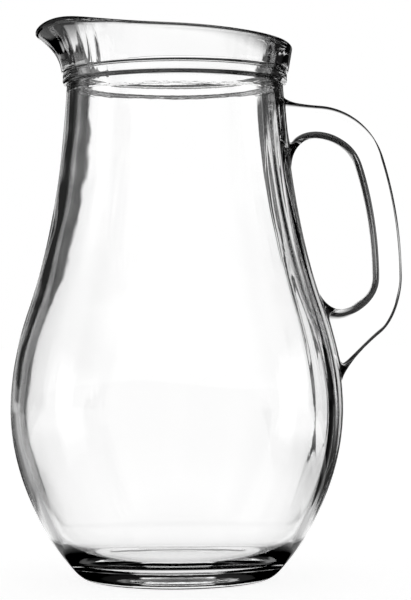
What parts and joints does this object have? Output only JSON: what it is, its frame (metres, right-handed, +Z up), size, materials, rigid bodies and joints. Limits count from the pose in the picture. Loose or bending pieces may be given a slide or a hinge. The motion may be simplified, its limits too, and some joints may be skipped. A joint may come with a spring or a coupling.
{
  "type": "glass pitcher",
  "caption": "Clear glass beer pitcher with a round belly, narrow neck, collar ring, flared rim drawn into a pouring lip, and a bent bar handle fused to neck and belly.",
  "frame": {"origin": "centre of the flat resting ring, on the surface that the pitcher stands on", "axes": "+Z up along the vessel's axis, +X towards the handle, -X towards the pouring lip, Y across the loop of the handle"},
  "size_m": [0.1644, 0.1394, 0.2318],
  "materials": {
    "glass": "clear fire-polished soda-lime glass"
  },
  "bodies": {
    "root": {"base": "glass", "body_wall": "glass", "collar_ring": "glass", "rim_band": "glass", "handle_bar": "glass", "handle_upper_weld": "glass", "handle_lower_weld": "glass"}
  },
  "joints": []
}
